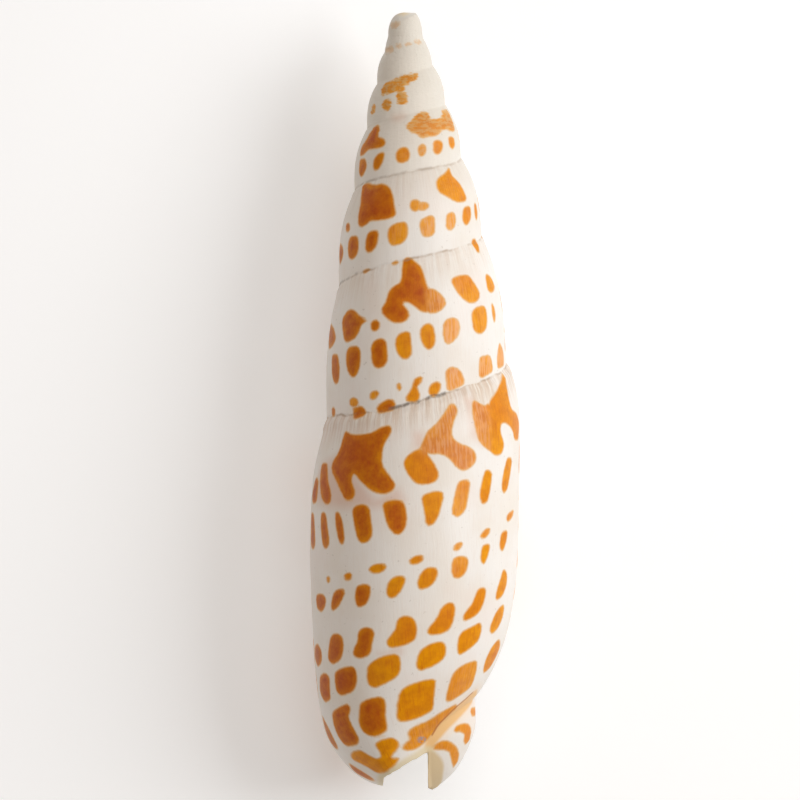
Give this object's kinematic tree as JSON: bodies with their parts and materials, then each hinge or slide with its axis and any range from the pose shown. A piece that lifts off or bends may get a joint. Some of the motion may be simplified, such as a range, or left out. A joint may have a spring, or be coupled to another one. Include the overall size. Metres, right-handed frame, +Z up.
{
  "type": "mitre shell",
  "caption": "Long spiral sea shell lying on its aperture, with a stepped spire, a notched canal and a folded columella.",
  "frame": {"origin": "under the middle of the shell, on the surface it lies on", "axes": "+Y along the shell's axis towards its apex, +Z up out of its rounded back, +X to the right seen from its back with the apex up"},
  "size_m": [0.033, 0.12, 0.0301],
  "materials": {
    "shell": "glossy glazed shell, white with rows of orange marks"
  },
  "bodies": {
    "root": {"shell": "shell"}
  },
  "joints": []
}
